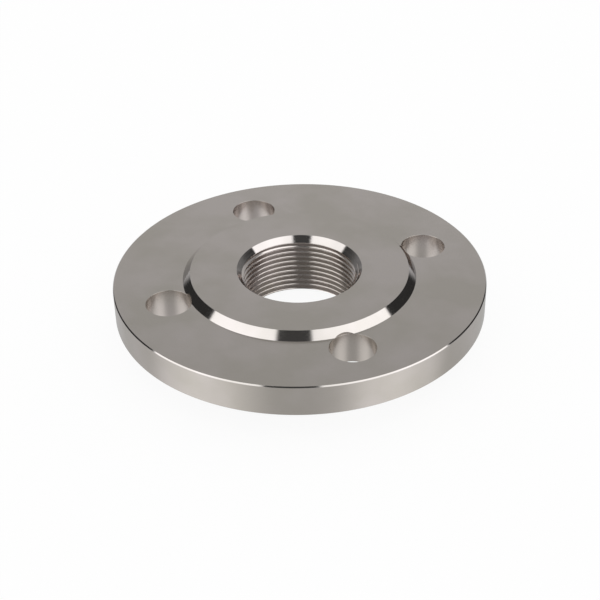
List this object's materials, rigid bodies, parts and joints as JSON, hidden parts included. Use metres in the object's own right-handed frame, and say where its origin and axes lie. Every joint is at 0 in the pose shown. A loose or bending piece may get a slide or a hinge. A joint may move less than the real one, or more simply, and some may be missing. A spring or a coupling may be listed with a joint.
{
  "type": "threaded flange",
  "caption": "Round steel pipe flange with a raised sealing face, a short hub, an internal pipe thread through its middle and a ring of plain bolt holes.",
  "frame": {"origin": "centre of the hub's end face, on the axis of the bore", "axes": "+Z along the bore from the hub's end towards the raised face; the bolt holes lie at 45 degrees to X and Y"},
  "size_m": [0.15, 0.15, 0.026],
  "materials": {
    "stainless_steel": "turned, satin, with bright chamfers"
  },
  "bodies": {
    "root": {"threaded_flange": "stainless_steel"}
  },
  "joints": []
}
